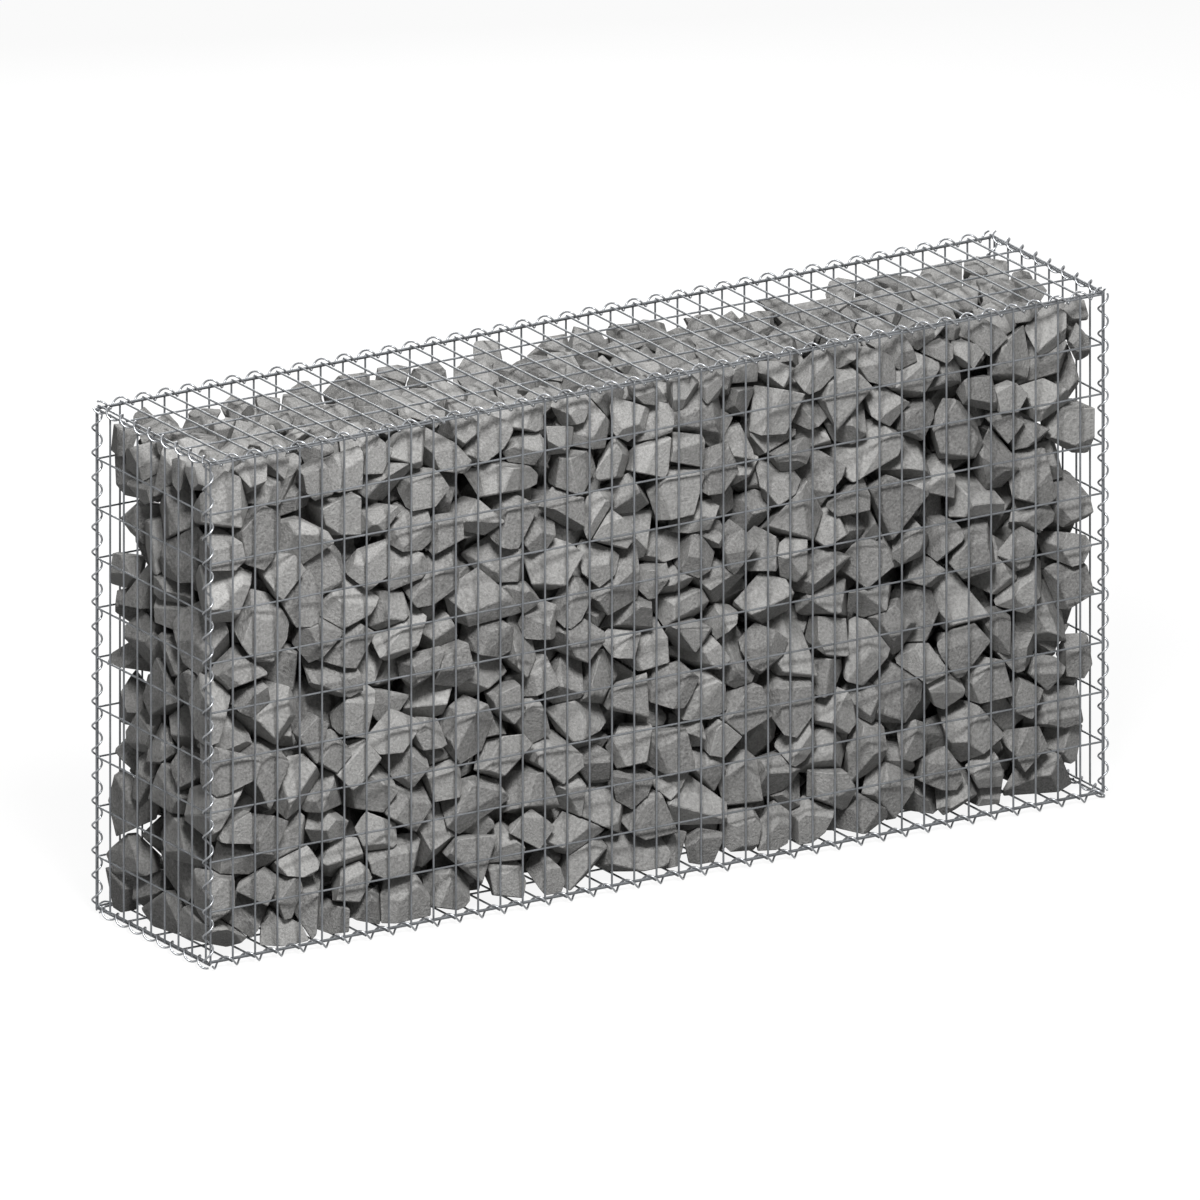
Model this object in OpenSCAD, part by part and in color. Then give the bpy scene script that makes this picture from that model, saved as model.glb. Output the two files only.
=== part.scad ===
// Gabion wall: a basket of six welded wire panels, laced together along its twelve
// edges by spiral binders and filled with broken stone. Millimetres, +Z up.
// The origin is on the ground, under the middle of the basket.

/* [Basket] */
// Length of the basket, between the end wires of its long faces
basket_length = 2000; // [600:50:3000]
// Depth of the basket, between the edge wires of its ends
basket_depth = 400; // [250:50:1000]
// Height of the basket, between its lowest and highest level wires
basket_height = 1000; // [400:50:1500]

/* [Mesh panels] */
// Diameter of the mesh wire
wire_d = 4; // [3:0.5:6]
// Spacing of the outer wires of a panel, which is the short side of a mesh opening
outer_pitch = 50; // [40:5:100]
// Spacing of the inner wires of a panel, which is the long side of a mesh opening
inner_pitch = 100; // [50:10:200]
// How deep two crossing wires sink into each other at their weld
weld_bite = 0.8; // [0.4:0.1:1.2]
// Play between the edge wires of two panels that lie side by side
edge_play = 0.1; // [0.1:0.1:0.6]

/* [Lacing spirals] */
// Diameter of the spiral's own wire
spiral_wire_d = 4; // [2.4:0.2:5]
// Play between the inside of a spiral and the two edge wires in it
spiral_play = 0.5; // [0.3:0.1:0.6]

/* [Stone fill] */
// Typical size of a stone
stone_size = 100; // [60:10:160]
// Depth of the hollows between the stones on the faces of the fill
stone_relief = 30; // [5:5:50]
// Gap between the lid and the highest stones
headroom = 20; // [15:5:100]
// Gap between the stones and the inside of the spirals
fill_play = 4; // [2:1:20]

/* [Hidden] */

wire_colour = "lightslategray";
spiral_colour = "silver";
stone_colour = "gray";

// Axes of the basket
along = [1, 0, 0];
across = [0, 1, 0];
up = [0, 0, 1];

// The wire is drawn five-sided: its ridge is welded and its flat faces away from the weld
wire_sides = 5;
wire_r = section_r(wire_d, wire_sides);
wire_flat = wire_r * cos(180 / wire_sides);

// Corner arrangement: the inner layer of a panel lies one wire, less the weld, behind
// its outer layer, and at an edge the inner wires of two panels lie side by side
layer_step = wire_d - weld_bite;
inner_reach = (2 * wire_r + edge_play) / sqrt(2);
outer_reach = inner_reach + layer_step;
// Wires stop just short of the next panel's wires
outer_stub = outer_reach - wire_r - edge_play;
inner_stub = inner_reach - wire_r - edge_play;

// A spiral holds two edge wires that stand outer_reach apart each way
wire_orbit = outer_reach / sqrt(2);
spiral_r = wire_orbit + wire_r + spiral_play + spiral_wire_d / 2;
spiral_sides = 3;
spiral_steps = 8;
spiral_wire_r = section_r(spiral_wire_d, spiral_sides);

// A spiral lies as it was screwed in. This is the angle at which each one passes the mesh
// wires, turning about its run from the next axis in the order along, across, up.
front_left_angle = 140;
front_right_angle = 357;
back_left_angle = 60;
back_right_angle = 50;
front_top_angle = 82;
back_top_angle = 64;
front_bottom_angle = 187;
back_bottom_angle = 313;
left_top_angle = 271;
right_top_angle = 32;
left_bottom_angle = 157;
right_bottom_angle = 148;

// The spirals are the lowest pieces: this lifts the basket so that they stand at zero
ground_lift = max(
    long_drop(front_bottom_angle), long_drop(back_bottom_angle),
    short_drop(left_bottom_angle), short_drop(right_bottom_angle)
);

// Fill, clear of the spirals at the edges and seated on the base panel's inner wires
fill_inset = spiral_r + spiral_wire_r - spiral_offset(inner_reach, inner_reach)[0] + fill_play;
fill_length = basket_length - 2 * fill_inset;
fill_depth = basket_depth - 2 * fill_inset;
fill_bottom = wire_flat - inner_reach + edge_play;
fill_top = basket_height - headroom;
lift_count = 3;
lift_h = (fill_top - fill_bottom) / lift_count;
cells_x = cells(fill_length, stone_size);
cells_y = cells(fill_depth, stone_size);
cells_z = cells(lift_h, stone_size);
// Share of a cell by which a stone's corner may stray sideways
stone_stray = 0.5;
// Three random shares for every stone corner in the fill
stone_seed = 7;
corners_z = lift_count * cells_z + 1;
stone_draws = rands(0, 1, 3 * (cells_x + 1) * (cells_y + 1) * corners_z, stone_seed);

function cells(size, pitch) = max(1, round(size / pitch));
function unit(v) = v / norm(v);

// Corner radius of a wire drawn with a few flat sides and the area of the round wire
function section_r(d, sides) = d / 2 * sqrt(2 * PI / (sides * sin(360 / sides)));

// Where a spiral's axis lies, as distances along the normals of the two panels that it
// joins. Their edge wires stand a and b out along those normals, and the axis moves
// outwards until both wires bear on the inside of the spiral.
function spiral_offset(a, b) =
    let (apart = norm([a, b]), shift = sqrt(max(0, wire_orbit ^ 2 - (apart / 2) ^ 2)))
    [a / 2 + shift * b / apart, b / 2 + shift * a / apart];

// How far a bottom spiral reaches below the edge that it laces, where down is at this angle
function spiral_drop(offset, angle, down) =
    let (lowest = max([for (i = [0:spiral_steps - 1]) cos(angle + 360 * i / spiral_steps - down)]))
    offset + (spiral_r + spiral_wire_r) * lowest;
function long_drop(angle) = spiral_drop(spiral_offset(inner_reach, inner_reach)[0], angle, 270);
function short_drop(angle) = spiral_drop(spiral_offset(outer_reach, inner_reach)[0], angle, 180);

// The axis that follows this one in the order along, across, up
function next_axis(axis) = [axis[2], axis[0], axis[1]];

// One straight wire along +Z, with its ridge to +Y (weld_side 1) or -Y (weld_side -1)
module wire(length, weld_side) {
    rotate(90 * weld_side)
        cylinder(h = length, r = wire_r, $fn = wire_sides);
}

// A welded panel in the XZ plane that faces -Y: outer wires stand, inner wires lie level
module panel(width, rise) {
    columns = cells(width, outer_pitch);
    rows = cells(rise, inner_pitch);
    color(wire_colour) union() {
        for (i = [0:columns])
            translate([width * (i / columns - 1 / 2), 0, -outer_stub])
                wire(rise + 2 * outer_stub, 1);
        for (j = [0:rows])
            translate([-width / 2 - inner_stub, layer_step, rise * j / rows])
                rotate([0, 90, 0])
                    wire(width + 2 * inner_stub, -1);
    }
}

module front_panel() {
    translate([0, -basket_depth / 2 - outer_reach, ground_lift])
        panel(basket_length, basket_height);
}

module back_panel() {
    rotate(180) front_panel();
}

module left_end_panel() {
    translate([-basket_length / 2 - outer_reach, 0, ground_lift])
        rotate(-90)
            panel(basket_depth, basket_height);
}

module right_end_panel() {
    rotate(180) left_end_panel();
}

module base_panel() {
    translate([0, basket_depth / 2, ground_lift - outer_reach])
        rotate([90, 0, 0])
            panel(basket_length, basket_depth);
}

module lid_panel() {
    translate([0, -basket_depth / 2, ground_lift + basket_height + outer_reach])
        rotate([-90, 0, 0])
            panel(basket_length, basket_depth);
}

// A right-handed spiral of wire along an edge of the basket. It starts at the corner and
// runs the length given, one turn to each mesh opening, and passes the mesh wires at the
// angle given. The panels that it joins face n1 and n2, and their edge wires stand a and b
// out from the edge.
module spiral(corner, run, length, n1, n2, a, b, wire_angle) {
    turns = cells(length, outer_pitch);
    pitch = length / turns;
    offset = spiral_offset(a, b);
    start = corner + ground_lift * up + offset[0] * n1 + offset[1] * n2;
    e1 = next_axis(run);
    e2 = next_axis(e1);
    rings = turns * spiral_steps;
    points = [
        for (i = [0:rings])
            let (
                turn = i / spiral_steps,
                angle = wire_angle + 360 * turn,
                radial = cos(angle) * e1 + sin(angle) * e2,
                sideways = cos(angle) * e2 - sin(angle) * e1,
                tangent = unit(2 * PI * spiral_r * sideways + pitch * run),
                binormal = cross(tangent, radial),
                centre = start + pitch * turn * run + spiral_r * radial
            )
            for (j = [0:spiral_sides - 1])
                let (corner_angle = 360 * j / spiral_sides)
                centre + spiral_wire_r * (cos(corner_angle) * radial + sin(corner_angle) * binormal)
    ];
    walls = [
        for (i = [0:rings - 1], j = [0:spiral_sides - 1])
            let (
                a0 = i * spiral_sides + j,
                a1 = i * spiral_sides + (j + 1) % spiral_sides,
                b0 = a0 + spiral_sides,
                b1 = a1 + spiral_sides
            )
            each [[a0, b0, b1], [a0, b1, a1]]
    ];
    caps = [
        [for (j = [0:spiral_sides - 1]) j],
        [for (j = [spiral_sides - 1:-1:0]) rings * spiral_sides + j]
    ];
    color(spiral_colour) polyhedron(points, concat(walls, caps), convexity = 10);
}

// A spiral on an upright edge joins the outer wires of two panels
module upright_spiral(x_side, y_side, wire_angle) {
    spiral(
        [x_side * basket_length / 2, y_side * basket_depth / 2, 0],
        up, basket_height, y_side * across, x_side * along, outer_reach, outer_reach, wire_angle
    );
}

// A spiral on a long edge joins the inner wires of two panels
module long_spiral(y_side, z_side, wire_angle) {
    spiral(
        [-basket_length / 2, y_side * basket_depth / 2, z_side > 0 ? basket_height : 0],
        along, basket_length, z_side * up, y_side * across, inner_reach, inner_reach, wire_angle
    );
}

// A spiral on a short edge joins the outer wire of the lid or base to an end's inner wire
module short_spiral(x_side, z_side, wire_angle) {
    spiral(
        [x_side * basket_length / 2, -basket_depth / 2, z_side > 0 ? basket_height : 0],
        across, basket_depth, z_side * up, x_side * along, outer_reach, inner_reach, wire_angle
    );
}

// One lift of the fill, as loose stone is placed: a mass with a rubble face on every side
// that shows. Stone corners are grid points, drawn in from the faces and moved about.
module fill_lift(level) {
    top_is_open = level == lift_count - 1;
    bottom = ground_lift + fill_bottom + level * lift_h;
    top = bottom + lift_h - (top_is_open ? 0 : edge_play);
    function draw(i, j, k) =
        let (first = 3 * ((i * (cells_y + 1) + j) * corners_z + level * cells_z + k))
        [for (n = [0:2]) stone_draws[first + n]];
    function level_place(i, n, size, r) =
        i == 0 ? -size / 2 + stone_relief * r
        : i == n ? size / 2 - stone_relief * r
        : size * ((i + stone_stray * (r - 1 / 2)) / n - 1 / 2);
    function height_place(k, r) =
        k == 0 ? bottom
        : k == cells_z ? top - (top_is_open ? stone_relief * r : 0)
        : bottom + (top - bottom) * (k + stone_stray * (r - 1 / 2)) / cells_z;
    function place(i, j, k) =
        let (r = draw(i, j, k))
        [
            level_place(i, cells_x, fill_length, r[0]),
            level_place(j, cells_y, fill_depth, r[1]),
            height_place(k, r[2])
        ];
    function index(i, j, k) = (i * (cells_y + 1) + j) * (cells_z + 1) + k;
    // Two triangles of a face whose corners run clockwise as seen from outside
    function facet(c, flip) =
        flip ? [[c[0], c[1], c[2]], [c[0], c[2], c[3]]] : [[c[0], c[1], c[3]], [c[1], c[2], c[3]]];
    // Turns the corners of a face round where it is the far one of a pair
    function turned(c, far) = far ? [for (n = [len(c) - 1:-1:0]) c[n]] : c;
    // The rim of a flat face, where this lift lies on the one below it or on the base
    function rim(k) = [
        for (i = [0:cells_x - 1]) index(i, 0, k),
        for (j = [0:cells_y - 1]) index(cells_x, j, k),
        for (i = [cells_x:-1:1]) index(i, cells_y, k),
        for (j = [cells_y:-1:1]) index(0, j, k)
    ];
    points = [
        for (i = [0:cells_x], j = [0:cells_y], k = [0:cells_z])
            place(i, j, k)
    ];
    faces = [
        for (i = [0:cells_x - 1], k = [0:cells_z - 1], far = [0, 1])
            let (
                j = far * cells_y,
                c = [index(i, j, k), index(i, j, k + 1), index(i + 1, j, k + 1), index(i + 1, j, k)]
            )
            each facet(turned(c, far == 1), (i + k) % 2 == 0),
        for (j = [0:cells_y - 1], k = [0:cells_z - 1], far = [0, 1])
            let (
                i = far * cells_x,
                c = [index(i, j, k), index(i, j + 1, k), index(i, j + 1, k + 1), index(i, j, k + 1)]
            )
            each facet(turned(c, far == 1), (j + k) % 2 == 0),
        rim(0),
        if (!top_is_open) turned(rim(cells_z), true),
        if (top_is_open)
            for (i = [0:cells_x - 1], j = [0:cells_y - 1])
                let (
                    k = cells_z,
                    c = [index(i, j, k), index(i, j + 1, k), index(i + 1, j + 1, k), index(i + 1, j, k)]
                )
                each facet(c, (i + j) % 2 == 0)
    ];
    color(stone_colour) polyhedron(points, faces, convexity = 10);
}

front_panel();
back_panel();
left_end_panel();
right_end_panel();
base_panel();
lid_panel();
upright_spiral(-1, -1, front_left_angle);  // spiral_front_left
upright_spiral(1, -1, front_right_angle);  // spiral_front_right
upright_spiral(-1, 1, back_left_angle);  // spiral_back_left
upright_spiral(1, 1, back_right_angle);  // spiral_back_right
long_spiral(-1, 1, front_top_angle);  // spiral_front_top
long_spiral(1, 1, back_top_angle);  // spiral_back_top
long_spiral(-1, -1, front_bottom_angle);  // spiral_front_bottom
long_spiral(1, -1, back_bottom_angle);  // spiral_back_bottom
short_spiral(-1, 1, left_top_angle);  // spiral_left_top
short_spiral(1, 1, right_top_angle);  // spiral_right_top
short_spiral(-1, -1, left_bottom_angle);  // spiral_left_bottom
short_spiral(1, -1, right_bottom_angle);  // spiral_right_bottom
fill_lift(0);  // fill_lift_lower
fill_lift(1);  // fill_lift_middle
fill_lift(2);  // fill_lift_upper
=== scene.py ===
"""Dresses the gabion wall with round galvanised wire, lacing spirals and a poured fill of broken stone."""

import math
import random

import bmesh
import bpy
from mathutils import Matrix, Quaternion, Vector


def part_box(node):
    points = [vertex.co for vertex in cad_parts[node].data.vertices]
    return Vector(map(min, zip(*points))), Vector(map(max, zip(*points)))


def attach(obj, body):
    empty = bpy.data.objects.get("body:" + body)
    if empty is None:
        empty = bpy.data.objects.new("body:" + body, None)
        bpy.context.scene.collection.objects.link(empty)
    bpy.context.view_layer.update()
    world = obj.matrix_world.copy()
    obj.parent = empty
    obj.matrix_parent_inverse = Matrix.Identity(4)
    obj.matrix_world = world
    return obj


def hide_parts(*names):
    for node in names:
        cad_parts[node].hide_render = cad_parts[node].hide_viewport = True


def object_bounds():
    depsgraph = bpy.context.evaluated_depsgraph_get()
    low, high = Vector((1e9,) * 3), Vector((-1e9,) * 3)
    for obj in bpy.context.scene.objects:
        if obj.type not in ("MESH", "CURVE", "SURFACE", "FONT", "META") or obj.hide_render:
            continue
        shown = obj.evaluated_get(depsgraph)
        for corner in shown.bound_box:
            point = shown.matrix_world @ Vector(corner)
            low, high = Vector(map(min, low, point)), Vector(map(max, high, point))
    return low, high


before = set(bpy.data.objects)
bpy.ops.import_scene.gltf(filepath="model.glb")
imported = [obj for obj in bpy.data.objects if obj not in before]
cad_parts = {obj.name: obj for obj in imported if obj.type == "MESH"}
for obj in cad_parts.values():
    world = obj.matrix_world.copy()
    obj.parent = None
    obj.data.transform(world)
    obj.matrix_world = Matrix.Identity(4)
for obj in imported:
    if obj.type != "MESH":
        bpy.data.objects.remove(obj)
cad_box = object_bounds()


# Welded mesh panels: six flat sheets of 4 mm galvanised steel wire. The outer wires of a sheet stand
# every 50 mm and are resistance-welded to inner wires every 100 mm, which squeezes a small nugget of
# metal out of each crossing. A sheet is drawn upright, facing -Y, and then turned to its side.

wire_d = 0.004
outer_pitch = 0.050
inner_pitch = 0.100
layer_step = 0.0032
inner_stub = 0.0009
nugget_r = 0.0024
zinc_shade = (0.158, 0.166, 0.176)
panel_turns = {
    "front_panel": Matrix.Identity(4),
    "back_panel": Matrix.Rotation(math.radians(180), 4, "Z"),
    "left_end_panel": Matrix.Rotation(math.radians(-90), 4, "Z"),
    "right_end_panel": Matrix.Rotation(math.radians(90), 4, "Z"),
    "base_panel": Matrix.Rotation(math.radians(90), 4, "X"),
    "lid_panel": Matrix.Rotation(math.radians(-90), 4, "X"),
}


def put(tree, socket, value):
    """Links an input to another node's socket, or sets its value."""
    if isinstance(value, bpy.types.NodeSocket):
        tree.links.new(value, socket)
    else:
        socket.default_value = value


def add(tree, kind, settings=None, **inputs):
    """Adds a node with these settings and inputs, and returns its first output. In the name of an input
    a _ stands for a space."""
    node = tree.nodes.new(kind)
    for name, value in (settings or {}).items():
        setattr(node, name, value)
    for name, value in inputs.items():
        label = name.replace("_", " ")
        put(tree, next(s for s in node.inputs if s.enabled and s.name == label), value)
    return next(s for s in node.outputs if s.enabled)


def work_out(tree, operation, *values):
    """The result of one Math node."""
    node = tree.nodes.new("ShaderNodeMath")
    node.operation = operation
    for socket, value in zip(node.inputs, values):
        put(tree, socket, value)
    return node.outputs[0]


def new_tree(name, inputs):
    """A Geometry Nodes tree with these named inputs, given back with its inputs' sockets."""
    tree = bpy.data.node_groups.new(name, "GeometryNodeTree")
    tree.interface.new_socket("Result", in_out="OUTPUT", socket_type="NodeSocketGeometry")
    for label, kind in inputs.items():
        tree.interface.new_socket(label, in_out="INPUT", socket_type="NodeSocket" + kind)
    source = tree.nodes.new("NodeGroupInput")
    return tree, {label: source.outputs[label] for label in inputs}


def end_tree(tree, parts, material):
    """Joins the parts, realizes them, sets their material and passes them to the tree's output."""
    joined = tree.nodes.new("GeometryNodeJoinGeometry")
    for part in parts:
        tree.links.new(part, joined.inputs[0])
    real = add(tree, "GeometryNodeRealizeInstances", Geometry=joined.outputs[0])
    painted = add(tree, "GeometryNodeSetMaterial", Geometry=real, Material=material)
    tree.links.new(painted, tree.nodes.new("NodeGroupOutput").inputs[0])


def grow(name, tree, inputs, start=None, place=Matrix.Identity(4)):
    """Runs a tree with these inputs. Returns an object with the result as a plain mesh at its place."""
    piece = bpy.data.objects.new(name, start or bpy.data.meshes.new(name + "_start"))
    bpy.context.scene.collection.objects.link(piece)
    modifier = piece.modifiers.new(tree.name, "NODES")
    modifier.node_group = tree
    for item in tree.interface.items_tree:
        if item.in_out == "INPUT" and item.name in inputs:
            modifier[item.identifier] = inputs[item.name]
    graph = bpy.context.evaluated_depsgraph_get()
    mesh = bpy.data.meshes.new_from_object(piece.evaluated_get(graph), depsgraph=graph)
    piece.modifiers.remove(modifier)
    mesh.transform(place)
    mesh.name = name
    piece.data = mesh
    return piece


def zinc(name, shade, rough_low, rough_high, metal):
    """Hot-dip zinc on steel: dull blue-grey metal with a crystal pattern and paler, rougher patches."""
    material = bpy.data.materials.new(name)
    material.use_nodes = True
    tree = material.node_tree
    surface = tree.nodes["Principled BSDF"]
    place = tree.nodes.new("ShaderNodeTexCoord").outputs["Object"]
    crystals = add(tree, "ShaderNodeTexVoronoi", Vector=place, Scale=300.0)
    patches = add(tree, "ShaderNodeTexNoise", Vector=place, Scale=30.0, Detail=4.0)
    blotch = work_out(tree, "MULTIPLY_ADD", crystals, 0.3, work_out(tree, "MULTIPLY", patches, 0.8))
    ramp = tree.nodes.new("ShaderNodeValToRGB")
    put(tree, ramp.inputs[0], blotch)
    for stop, position, strength in zip(ramp.color_ramp.elements, (0.3, 0.75), (0.72, 1.3)):
        stop.position = position
        stop.color = [strength * part for part in shade] + [1.0]
    put(tree, surface.inputs["Base Color"], ramp.outputs[0])
    rough = add(tree, "ShaderNodeMapRange", Value=patches, To_Min=rough_low, To_Max=rough_high)
    put(tree, surface.inputs["Roughness"], rough)
    grain = add(tree, "ShaderNodeTexNoise", Vector=place, Scale=800.0, Detail=2.0)
    bump = add(tree, "ShaderNodeBump", Height=grain, Strength=0.2, Distance=0.0004)
    put(tree, surface.inputs["Normal"], bump)
    surface.inputs["Metallic"].default_value = metal
    return material


panel_zinc = zinc("zinc_mesh_wire", zinc_shade, 0.34, 0.50, 0.55)

panel_tree, p = new_tree("welded_panel", {
    "Width": "Float", "Rise": "Float", "Columns": "Int", "Rows": "Int", "Outer Stub": "Float",
    "Inner Stub": "Float", "Wire Diameter": "Float", "Layer Step": "Float", "Nugget Radius": "Float",
    "Seed": "Int", "Zinc": "Material",
})
wire_r = work_out(panel_tree, "DIVIDE", p["Wire Diameter"], 2.0)
wire_ring = add(panel_tree, "GeometryNodeCurvePrimitiveCircle", Resolution=12, Radius=wire_r)
right = work_out(panel_tree, "DIVIDE", p["Width"], 2.0)
left = work_out(panel_tree, "MULTIPLY", right, -1.0)
top = work_out(panel_tree, "DIVIDE", p["Rise"], 2.0)
bottom = work_out(panel_tree, "MULTIPLY", top, -1.0)
inside = work_out(panel_tree, "DIVIDE", p["Layer Step"], 2.0)
outside = work_out(panel_tree, "MULTIPLY", inside, -1.0)


def panel_point(x, y, z):
    """A place on the panel."""
    return add(panel_tree, "ShaderNodeCombineXYZ", X=x, Y=y, Z=z)


def wire_row(wire_start, wire_end, row_start, row_end, gaps):
    """A row of like round wires, set out evenly from the row's start to its end."""
    line = add(panel_tree, "GeometryNodeCurvePrimitiveLine", Start=wire_start, End=wire_end)
    wire = add(panel_tree, "GeometryNodeCurveToMesh", Curve=line, Profile_Curve=wire_ring, Fill_Caps=True)
    count = work_out(panel_tree, "ADD", gaps, 1.0)
    row = add(panel_tree, "GeometryNodeMeshLine", {"mode": "END_POINTS"},
              Count=count, Start_Location=row_start, Offset=row_end)
    return add(panel_tree, "GeometryNodeInstanceOnPoints", Points=row, Instance=wire)


outer_wires = wire_row(
    panel_point(0.0, outside, work_out(panel_tree, "SUBTRACT", bottom, p["Outer Stub"])),
    panel_point(0.0, outside, work_out(panel_tree, "ADD", top, p["Outer Stub"])),
    panel_point(left, 0.0, 0.0), panel_point(right, 0.0, 0.0), p["Columns"])
inner_wires = wire_row(
    panel_point(work_out(panel_tree, "SUBTRACT", left, p["Inner Stub"]), inside, 0.0),
    panel_point(work_out(panel_tree, "ADD", right, p["Inner Stub"]), inside, 0.0),
    panel_point(0.0, 0.0, bottom), panel_point(0.0, 0.0, top), p["Rows"])
crossings = add(
    panel_tree, "GeometryNodeMeshGrid", Size_X=p["Width"], Size_Y=p["Rise"],
    Vertices_X=work_out(panel_tree, "ADD", p["Columns"], 1.0),
    Vertices_Y=work_out(panel_tree, "ADD", p["Rows"], 1.0))
crossings = add(panel_tree, "GeometryNodeTransform", Geometry=crossings, Rotation=(math.pi / 2, 0, 0))
nugget = add(panel_tree, "GeometryNodeMeshIcoSphere", Radius=p["Nugget Radius"], Subdivisions=1)
spread = add(panel_tree, "FunctionNodeRandomValue", {"data_type": "FLOAT_VECTOR"},
             Min=(0.95, 0.7, 0.95), Max=(1.25, 0.9, 1.25), Seed=p["Seed"])
nuggets = add(panel_tree, "GeometryNodeInstanceOnPoints", Points=crossings, Instance=nugget, Scale=spread)
smooth_parts = []
for part in (outer_wires, inner_wires, nuggets):
    real_part = add(panel_tree, "GeometryNodeRealizeInstances", Geometry=part)
    smooth_parts.append(add(panel_tree, "GeometryNodeSetShadeSmooth", Geometry=real_part))
end_tree(panel_tree, smooth_parts, p["Zinc"])

for seed, (node, turn) in enumerate(panel_turns.items()):
    low, high = (Vector(corner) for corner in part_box(node))
    size = turn.to_3x3().inverted() @ (high - low)
    columns = int(abs(size.x) // outer_pitch)
    rows = int(abs(size.z) // inner_pitch)
    panel = grow(node + "_wires", panel_tree, {
        "Width": columns * outer_pitch, "Rise": rows * inner_pitch, "Columns": columns, "Rows": rows,
        "Outer Stub": (abs(size.z) - rows * inner_pitch) / 2, "Inner Stub": inner_stub,
        "Wire Diameter": wire_d, "Layer Step": layer_step, "Nugget Radius": nugget_r,
        "Seed": seed, "Zinc": panel_zinc,
    }, place=Matrix.Translation((low + high) / 2) @ turn)
    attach(panel, "root")
    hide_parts(node)


# Lacing spirals: right-handed springs of 4 mm galvanised wire, screwed in along the twelve edges with
# one turn to each mesh opening, so that each binds the edge wires of two panels. Each is given the
# angle at which it passes the mesh wires, turning about its own run from the next axis in X, Y, Z order.

spiral_wire_d = 0.004
spiral_d = 0.0188
spiral_shade = (0.26, 0.268, 0.28)
spiral_angles = {
    "spiral_front_left": 140, "spiral_front_right": 357, "spiral_back_left": 60, "spiral_back_right": 50,
    "spiral_front_top": 82, "spiral_back_top": 64, "spiral_front_bottom": 187, "spiral_back_bottom": 313,
    "spiral_left_top": 271, "spiral_right_top": 32, "spiral_left_bottom": 157, "spiral_right_bottom": 148,
}
run_turns = [
    Matrix(((0, 0, 1), (1, 0, 0), (0, 1, 0))).to_4x4(),
    Matrix(((0, 1, 0), (0, 0, 1), (1, 0, 0))).to_4x4(),
    Matrix.Identity(4),
]
spiral_zinc = zinc("zinc_spiral_wire", spiral_shade, 0.26, 0.38, 0.85)

spiral_tree, s = new_tree("lacing_spiral", {
    "Spiral Diameter": "Float", "Wire Diameter": "Float", "Turns": "Float", "Pitch": "Float",
    "Start Angle": "Float", "Zinc": "Material",
})
spiral_r = work_out(spiral_tree, "DIVIDE", s["Spiral Diameter"], 2.0)
rise = work_out(spiral_tree, "MULTIPLY", s["Turns"], s["Pitch"])
coil = add(spiral_tree, "GeometryNodeCurveSpiral", Resolution=20, Rotations=s["Turns"],
           Start_Radius=spiral_r, End_Radius=spiral_r, Height=rise, Reverse=True)
half_down = work_out(spiral_tree, "MULTIPLY", rise, -0.5)
coil = add(spiral_tree, "GeometryNodeTransform", Geometry=coil,
           Translation=add(spiral_tree, "ShaderNodeCombineXYZ", Z=half_down),
           Rotation=add(spiral_tree, "ShaderNodeCombineXYZ", Z=s["Start Angle"]))
spiral_ring = add(spiral_tree, "GeometryNodeCurvePrimitiveCircle", Resolution=8,
                  Radius=work_out(spiral_tree, "DIVIDE", s["Wire Diameter"], 2.0))
coil = add(spiral_tree, "GeometryNodeCurveToMesh", Curve=coil, Profile_Curve=spiral_ring, Fill_Caps=True)
end_tree(spiral_tree, [add(spiral_tree, "GeometryNodeSetShadeSmooth", Geometry=coil)], s["Zinc"])

for node, angle in spiral_angles.items():
    low, high = (Vector(corner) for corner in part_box(node))
    size = high - low
    run = max(range(3), key=lambda axis: size[axis])
    spiral = grow(node + "_wire", spiral_tree, {
        "Spiral Diameter": spiral_d, "Wire Diameter": spiral_wire_d, "Pitch": outer_pitch,
        "Turns": size[run] // outer_pitch, "Start Angle": math.radians(angle), "Zinc": spiral_zinc,
    }, place=Matrix.Translation((low + high) / 2) @ run_turns[run])
    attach(spiral, "root")
    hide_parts(node)


# Stone fill: some 1,350 blocks of quarried grey rock, mostly 100 to 140 mm long, with flat broken faces
# and slightly worn edges. They are poured in loose and settle under their own weight inside the mesh.
# The ones that would stand above the lid are taken off, and smaller ones top up the hollows.

fill_nodes = ["fill_lift_lower", "fill_lift_middle", "fill_lift_upper"]
stone_r = 0.042
stone_spread = 0.24
stone_shapes = 28
cube_size = 2.4
cut_counts = (7, 10)
cut_scatter = 0.3
cut_depths = (0.62, 1.0)
merge_reach = 0.06
flat_angle = 0.12
middle_shares = (0.76, 1.0)
short_shares = (0.62, 0.9)
worn_edge = 0.04
fill_reach = 0.007
lid_gap = 0.006
pour_step = 0.121
first_drop = 0.6
stone_friction = 0.25
stone_margin = 0.001
wall_friction = 0.1
pour_substeps = 10
pour_iterations = 20
top_shares = (0.9, 0.8, 0.72, 0.66, 0.6)
# A pour is a number of stones, the frames they settle for and their share of the full size.
pours = [(288, 27, 1.0)] * 4 + [(144, 24, 1.0)] + [(96, 20, share) for share in top_shares]
stone_dark = (0.120, 0.1185, 0.1155)
stone_pale = (0.370, 0.3665, 0.358)
# Paler grey of the worn edges: partly real wear, partly a painted highlight along them.
stone_edge_wear_and_highlight = (0.335, 0.331, 0.324)
draw = random.Random(64)


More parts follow.
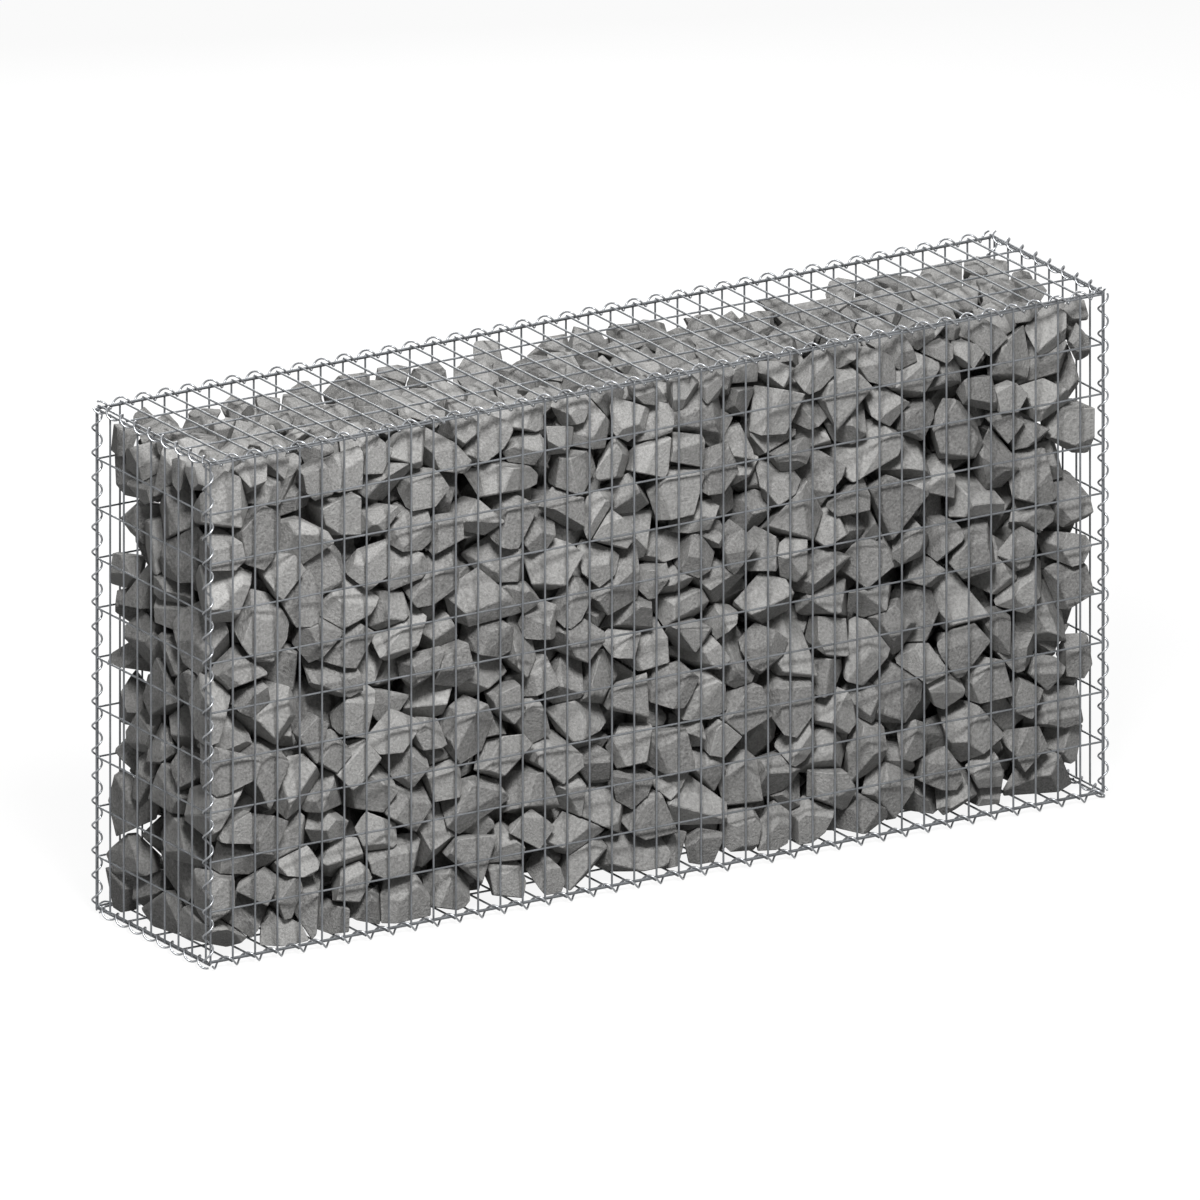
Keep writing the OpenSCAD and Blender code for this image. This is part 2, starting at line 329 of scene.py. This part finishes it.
def broken_block():
    """A convex block of about unit radius: the hull of a cube's rest after cuts at odd angles."""
    block = bmesh.new()
    bmesh.ops.create_cube(block, size=cube_size)
    cuts = draw.randint(*cut_counts)
    axis = Vector([draw.gauss(0, 1) for _ in range(3)]).normalized()
    spin = Matrix.Rotation(draw.uniform(0, 2 * math.pi), 3, axis)
    for i in range(cuts):
        height = 1 - 2 * (i + 0.5) / cuts
        around = i * math.pi * (3 - math.sqrt(5))
        level = math.sqrt(1 - height * height)
        even = Vector((level * math.cos(around), level * math.sin(around), height))
        odd = Vector([draw.gauss(0, cut_scatter) for _ in range(3)])
        normal = spin @ (even + odd).normalized()
        cut = bmesh.ops.bisect_plane(
            block, geom=block.verts[:] + block.edges[:] + block.faces[:],
            plane_co=normal * draw.uniform(*cut_depths), plane_no=normal, clear_outer=True)
        rim = [item for item in cut["geom_cut"] if isinstance(item, bmesh.types.BMEdge)]
        bmesh.ops.edgenet_fill(block, edges=rim)
    bmesh.ops.remove_doubles(block, verts=block.verts, dist=merge_reach)
    bmesh.ops.delete(block, geom=block.edges[:] + block.faces[:], context="EDGES_FACES")
    hull = bmesh.ops.convex_hull(block, input=block.verts)
    loose = {item for item in hull["geom_interior"] + hull["geom_unused"] if item.is_valid}
    bmesh.ops.delete(block, geom=list(loose), context="VERTS")
    bmesh.ops.dissolve_limit(block, angle_limit=flat_angle, verts=block.verts, edges=block.edges)
    bmesh.ops.recalc_face_normals(block, faces=block.faces)
    flatness = Vector((1.0, draw.uniform(*middle_shares), draw.uniform(*short_shares)))
    bmesh.ops.scale(block, vec=flatness, verts=block.verts)
    even_size = (4 * math.pi / 3 / block.calc_volume()) ** (1 / 3)
    bmesh.ops.scale(block, vec=Vector((even_size,) * 3), verts=block.verts)
    return block


def mesh_of(block, name):
    """A mesh with a copy of the block."""
    mesh = bpy.data.meshes.new(name)
    block.to_mesh(mesh)
    return mesh


def worn_block(block, name):
    """The block with its edges worn off. It keeps each point's own place and marks the worn faces, whose
    paler paint is partly real wear and partly a painted highlight.
    """
    worn = block.copy()
    edges = bmesh.ops.bevel(worn, geom=worn.edges[:], offset=worn_edge, segments=1,
                            affect="EDGES", clamp_overlap=True)
    edge_faces = set(edges["faces"])
    # Marks the worn edge faces, which the rock paints paler: partly real wear, partly a painted highlight.
    edge_wear_and_highlight = worn.faces.layers.float.new("edge_wear_and_highlight")
    for face in worn.faces:
        face[edge_wear_and_highlight] = 1.0 if face in edge_faces else 0.0
    place = worn.verts.layers.float_vector.new("stone_place")
    for vert in worn.verts:
        vert[place] = vert.co
    mesh = mesh_of(worn, name)
    worn.free()
    return mesh


blocks = [broken_block() for _ in range(stone_shapes)]
fill_low = Vector(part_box(fill_nodes[0])[0]) - Vector((fill_reach, fill_reach, 0))
fill_high = Vector(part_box(fill_nodes[-1])[1]) + Vector((fill_reach, fill_reach, 0))
lid_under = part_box("lid_panel")[0][2]
scene = bpy.context.scene


def pour_wall(low, high):
    """A fixed block that keeps the poured stones in."""
    block = bmesh.new()
    bmesh.ops.create_cube(block, size=1.0)
    bmesh.ops.scale(block, vec=high - low, verts=block.verts)
    wall = bpy.data.objects.new("pour_wall", mesh_of(block, "pour_wall"))
    block.free()
    wall.location = (low + high) / 2
    scene.collection.objects.link(wall)
    return wall


def make_rigid(pieces, kind, shape, margin, friction):
    """Gives these objects to the pour, as moving stones or as fixed walls."""
    bpy.ops.object.select_all(action="DESELECT")
    for piece in pieces:
        piece.select_set(True)
    bpy.context.view_layer.objects.active = pieces[0]
    bpy.ops.rigidbody.objects_add(type=kind)
    for piece in pieces:
        body = piece.rigid_body
        body.collision_shape = shape
        body.use_margin = True
        body.collision_margin = margin
        body.friction = friction
        body.restitution = 0.0
        body.linear_damping = 0.1
        body.angular_damping = 0.2


def loose_stones(count, bottom, share):
    """Stones of any shape and turn, at this share of the full size, in layers and ready to fall."""
    columns = int((fill_high.x - fill_low.x) / pour_step)
    rows = int((fill_high.y - fill_low.y) / pour_step)
    for i in range(count):
        layer, cell = divmod(i, columns * rows)
        row, column = divmod(cell, columns)
        shape = draw.randrange(stone_shapes)
        radius = share * stone_r * draw.uniform(1 - stone_spread, 1 + stone_spread)
        mesh = mesh_of(blocks[shape], "loose_stone")
        mesh.transform(Matrix.Scale(radius, 4))
        stone = bpy.data.objects.new("loose_stone", mesh)
        stone.location = (
            fill_low.x + (column + 0.5) / columns * (fill_high.x - fill_low.x),
            fill_low.y + (row + 0.5) / rows * (fill_high.y - fill_low.y),
            bottom + (layer + first_drop) * pour_step)
        stone.rotation_mode = "QUATERNION"
        stone.rotation_quaternion = Quaternion([draw.gauss(0, 1) for _ in range(4)]).normalized()
        scene.collection.objects.link(stone)
        yield stone, {"shape": shape, "radius": radius, "tone": draw.random()}


def take_away(piece):
    """Removes an object and its mesh."""
    mesh = piece.data
    bpy.data.objects.remove(piece)
    bpy.data.meshes.remove(mesh)


wall_thick = 0.5
wall_top = 7.0
outer_low = fill_low - Vector((wall_thick,) * 3)
outer_high = Vector((fill_high.x + wall_thick, fill_high.y + wall_thick, wall_top))
walls = [
    pour_wall(outer_low, Vector((outer_high.x, outer_high.y, fill_low.z))),
    pour_wall(outer_low, Vector((fill_low.x, outer_high.y, wall_top))),
    pour_wall(Vector((fill_high.x, outer_low.y, outer_low.z)), outer_high),
    pour_wall(outer_low, Vector((outer_high.x, fill_low.y, wall_top))),
    pour_wall(Vector((outer_low.x, fill_high.y, outer_low.z)), outer_high),
]
bpy.ops.rigidbody.world_add()
scene.rigidbody_world.substeps_per_frame = pour_substeps
scene.rigidbody_world.solver_iterations = pour_iterations
make_rigid(walls, "PASSIVE", "BOX", 0.0, wall_friction)
settled = []
fill_level = fill_low.z
for count, frames, share in pours:
    fresh = list(loose_stones(count, fill_level, share))
    moving = [stone for stone, _ in fresh]
    make_rigid(moving, "ACTIVE", "CONVEX_HULL", stone_margin, stone_friction)
    for step in range(1, frames + 1):
        scene.frame_set(step)
    graph = bpy.context.evaluated_depsgraph_get()
    rested = [(stone, facts, stone.evaluated_get(graph).matrix_world.copy()) for stone, facts in fresh]
    scene.frame_set(1)
    for stone, facts, place in rested:
        corners = [place @ vert.co for vert in stone.data.vertices]
        for axis in range(3):
            over = max(corner[axis] for corner in corners) - fill_high[axis]
            under = fill_low[axis] - min(corner[axis] for corner in corners)
            if axis < 2 and over > 0:
                place.translation[axis] -= over
            if under > 0:
                place.translation[axis] += under
        summit = max(corner.z for corner in corners)
        if summit < lid_under - lid_gap:
            stone.rigid_body.type = "PASSIVE"
            stone.matrix_world = place
            settled.append((stone, facts, place))
            fill_level = max(fill_level, summit)
        else:
            take_away(stone)
bpy.ops.rigidbody.world_remove()
for piece in walls + [stone for stone, _, _ in settled]:
    take_away(piece)


def broken_stone(name):
    """Quarried rock: grey that varies from stone to stone, with faint bedding streaks, fine grain and
    paler edges, which are partly real wear and partly a painted highlight. The pattern follows each
    stone's own place, not the basket's."""
    material = bpy.data.materials.new(name)
    material.use_nodes = True
    tree = material.node_tree
    surface = tree.nodes["Principled BSDF"]
    own = add(tree, "ShaderNodeAttribute", {"attribute_name": "stone_place"})
    own_place = own.node.outputs["Vector"]
    tone = add(tree, "ShaderNodeAttribute", {"attribute_name": "tone"}).node.outputs["Fac"]
    edge_wear_and_highlight = add(tree, "ShaderNodeAttribute", {"attribute_name": "edge_wear_and_highlight"}).node.outputs["Fac"]
    apart = add(tree, "ShaderNodeCombineXYZ", X=work_out(tree, "MULTIPLY", tone, 71.0),
                Y=work_out(tree, "MULTIPLY", tone, 37.0), Z=work_out(tree, "MULTIPLY", tone, 113.0))
    place = add(tree, "ShaderNodeVectorMath", {"operation": "ADD"})
    put(tree, place.node.inputs[0], own_place)
    put(tree, place.node.inputs[1], apart)
    beds = add(tree, "ShaderNodeMapping", Vector=place, Scale=(0.6, 0.6, 4.5))
    streaks = add(tree, "ShaderNodeTexNoise", Vector=beds, Scale=1.6, Detail=5.0, Roughness=0.6)
    clouds = add(tree, "ShaderNodeTexNoise", Vector=place, Scale=1.3, Detail=5.0, Roughness=0.65)
    grain = add(tree, "ShaderNodeTexNoise", Vector=place, Scale=8.0, Detail=6.0, Roughness=0.75)
    chips = add(tree, "ShaderNodeTexVoronoi", Vector=place, Scale=7.0)
    mixed = work_out(tree, "MULTIPLY_ADD", clouds, 0.45, work_out(tree, "MULTIPLY", streaks, 0.3))
    mixed = work_out(tree, "MULTIPLY_ADD", grain, 2.2, mixed)
    mixed = work_out(tree, "MULTIPLY_ADD", tone, 0.5, mixed)
    shade = add(tree, "ShaderNodeMapRange", Value=mixed, From_Min=1.18, From_Max=2.28)
    ramp = tree.nodes.new("ShaderNodeValToRGB")
    put(tree, ramp.inputs[0], shade)
    for stop, colour in zip(ramp.color_ramp.elements, (stone_dark, stone_pale)):
        stop.color = list(colour) + [1.0]
    # Painted highlight and wear: the worn edge faces are mixed, in patches, towards the paler edge grey.
    rub_and_highlight = work_out(tree, "MULTIPLY", edge_wear_and_highlight, add(tree, "ShaderNodeMapRange", Value=clouds, From_Min=0.35,
                                               From_Max=0.65, To_Min=0.1, To_Max=0.75))
    colour = add(tree, "ShaderNodeMix", {"data_type": "RGBA"})
    put(tree, colour.node.inputs["Factor"], rub_and_highlight)
    put(tree, colour.node.inputs[6], ramp.outputs[0])
    colour.node.inputs[7].default_value = list(stone_edge_wear_and_highlight) + [1.0]
    put(tree, surface.inputs["Base Color"], colour.node.outputs[2])
    rough = add(tree, "ShaderNodeMapRange", Value=grain, To_Min=0.75, To_Max=0.98)
    put(tree, surface.inputs["Roughness"], rough)
    height = work_out(tree, "MULTIPLY_ADD", clouds, 0.35, work_out(tree, "MULTIPLY", grain, 0.45))
    height = work_out(tree, "MULTIPLY_ADD", chips, 0.12, height)
    height = work_out(tree, "MULTIPLY_ADD", streaks, 0.2, height)
    bump = add(tree, "ShaderNodeBump", Height=height, Strength=0.6, Distance=0.012)
    put(tree, surface.inputs["Normal"], bump)
    surface.inputs["Specular IOR Level"].default_value = 0.25
    return material


fill_rock = broken_stone("broken_grey_stone")

shapes = bpy.data.collections.new("stone_shapes")
for i, block in enumerate(blocks):
    name = f"stone_shape_{i:02d}"
    shapes.objects.link(bpy.data.objects.new(name, worn_block(block, name)))
    block.free()

fill_tree, f = new_tree("stone_fill", {"Stones": "Geometry", "Shapes": "Collection", "Rock": "Material"})
choices = add(fill_tree, "GeometryNodeCollectionInfo", Collection=f["Shapes"],
              Separate_Children=True, Reset_Children=True)
filled = add(
    fill_tree, "GeometryNodeInstanceOnPoints", Points=f["Stones"], Instance=choices, Pick_Instance=True,
    Instance_Index=add(fill_tree, "GeometryNodeInputNamedAttribute", {"data_type": "INT"}, Name="shape"),
    Rotation=add(fill_tree, "GeometryNodeInputNamedAttribute", {"data_type": "QUATERNION"}, Name="turn"),
    Scale=add(fill_tree, "GeometryNodeInputNamedAttribute", {"data_type": "FLOAT"}, Name="radius"))
end_tree(fill_tree, [filled], f["Rock"])

lift_tops = [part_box(node)[1][2] for node in fill_nodes]
for level, node in enumerate(fill_nodes):
    under = lift_tops[level - 1] if level > 0 else -math.inf
    over = lift_tops[level] if level + 1 < len(fill_nodes) else math.inf
    lift = [(facts, place) for _, facts, place in settled if under <= place.translation.z < over]
    spots = bpy.data.meshes.new(node + "_spots")
    spots.from_pydata([place.translation for _, place in lift], [], [])
    turns = [part for _, place in lift for part in place.to_quaternion()]
    spots.attributes.new("turn", "QUATERNION", "POINT").data.foreach_set("value", turns)
    for fact, kind in (("shape", "INT"), ("radius", "FLOAT"), ("tone", "FLOAT")):
        values = [facts[fact] for facts, _ in lift]
        spots.attributes.new(fact, kind, "POINT").data.foreach_set("value", values)
    fill = grow(node + "_stones", fill_tree, {"Shapes": shapes, "Rock": fill_rock}, start=spots)
    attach(fill, "root")
    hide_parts(node)


# Studio: a pale floor that keeps the wall's shadow, soft daylight all round, one lamp that hangs high
# in front of the wall, nearer to its left end, and a broad weaker one behind its right end.

floor_half = 12.0
floor_shade = (0.95, 0.95, 0.95, 1.0)
floor_bounce = (0.15, 0.15, 0.15, 1.0)
floor_white = 0.91
sky_strength = 0.30
lamps = {
    "key_lamp": (520.0, 1.3, Vector((-1.9, -3.4, 4.8))),
    "back_lamp": (140.0, 2.4, Vector((1.8, 4.0, 2.0))),
}
lamp_target = Vector((0.0, 0.0, 0.5))


def show_white(tree, seen, lit):
    """A shader that is plain white, by this share, to the camera and in reflections, and else as lit."""
    path = tree.nodes.new("ShaderNodeLightPath").outputs
    direct = work_out(tree, "MAXIMUM", path["Is Camera Ray"], path["Is Glossy Ray"])
    direct = work_out(tree, "MAXIMUM", direct, path["Is Transmission Ray"])
    kind = "ShaderNodeBackground" if lit.node.type == "BACKGROUND" else "ShaderNodeEmission"
    white = tree.nodes.new(kind)
    white.inputs["Color"].default_value = (1.0, 1.0, 1.0, 1.0)
    white.inputs["Strength"].default_value = 1.0
    mix = tree.nodes.new("ShaderNodeMixShader")
    put(tree, mix.inputs[0], work_out(tree, "MULTIPLY", direct, seen))
    put(tree, mix.inputs[1], lit)
    put(tree, mix.inputs[2], white.outputs[0])
    return mix.outputs[0]


floor_mesh = bpy.data.meshes.new("studio_floor")
corners = [(-floor_half, -floor_half, 0), (floor_half, -floor_half, 0),
           (floor_half, floor_half, 0), (-floor_half, floor_half, 0)]
floor_mesh.from_pydata(corners, [], [(0, 1, 2, 3)])
floor = bpy.data.objects.new("studio_floor", floor_mesh)
scene.collection.objects.link(floor)
floor_paint = bpy.data.materials.new("studio_floor_paint")
floor_paint.use_nodes = True
paint_tree = floor_paint.node_tree
paint = paint_tree.nodes["Principled BSDF"]
floor_colour = add(paint_tree, "ShaderNodeMix", {"data_type": "RGBA"})
put(paint_tree, floor_colour.node.inputs["Factor"],
    paint_tree.nodes.new("ShaderNodeLightPath").outputs["Is Camera Ray"])
floor_colour.node.inputs[6].default_value = floor_bounce
floor_colour.node.inputs[7].default_value = floor_shade
put(paint_tree, paint.inputs["Base Color"], floor_colour.node.outputs[2])
paint.inputs["Roughness"].default_value = 0.9
put(paint_tree, paint_tree.nodes["Material Output"].inputs["Surface"],
    show_white(paint_tree, floor_white, paint.outputs[0]))
floor_mesh.materials.append(floor_paint)

world = bpy.data.worlds.new("studio_sky")
scene.world = world
world.use_nodes = True
sky_tree = world.node_tree
sky = sky_tree.nodes["Background"]
sky.inputs["Color"].default_value = (1.0, 1.0, 1.0, 1.0)
sky.inputs["Strength"].default_value = sky_strength
put(sky_tree, sky_tree.nodes["World Output"].inputs["Surface"], show_white(sky_tree, 1.0, sky.outputs[0]))

for name, (watts, width, place) in lamps.items():
    light = bpy.data.lights.new(name, "AREA")
    light.energy = watts
    light.size = width
    lamp = bpy.data.objects.new(name, light)
    lamp.location = place
    lamp.rotation_euler = (place - lamp_target).to_track_quat("Z", "Y").to_euler()
    scene.collection.objects.link(lamp)
scene.view_settings.view_transform = "Standard"


# Camera: a parallel view from the front, to the left of the wall and a little above it.

view_turn = math.radians(-31.5)
view_tilt = math.radians(18.2)
view_width = 2.294
view_distance = 6.0
view_back = Vector((math.sin(view_turn) * math.cos(view_tilt),
                    -math.cos(view_turn) * math.cos(view_tilt), math.sin(view_tilt)))
lens = bpy.data.cameras.new("camera")
lens.type = "ORTHO"
lens.ortho_scale = view_width
lens.clip_end = 40.0
camera = bpy.data.objects.new("camera", lens)
camera.location = (Vector(cad_box[0]) + Vector(cad_box[1])) / 2 + view_distance * view_back
camera.rotation_euler = view_back.to_track_quat("Z", "Y").to_euler()
scene.collection.objects.link(camera)
scene.camera = camera
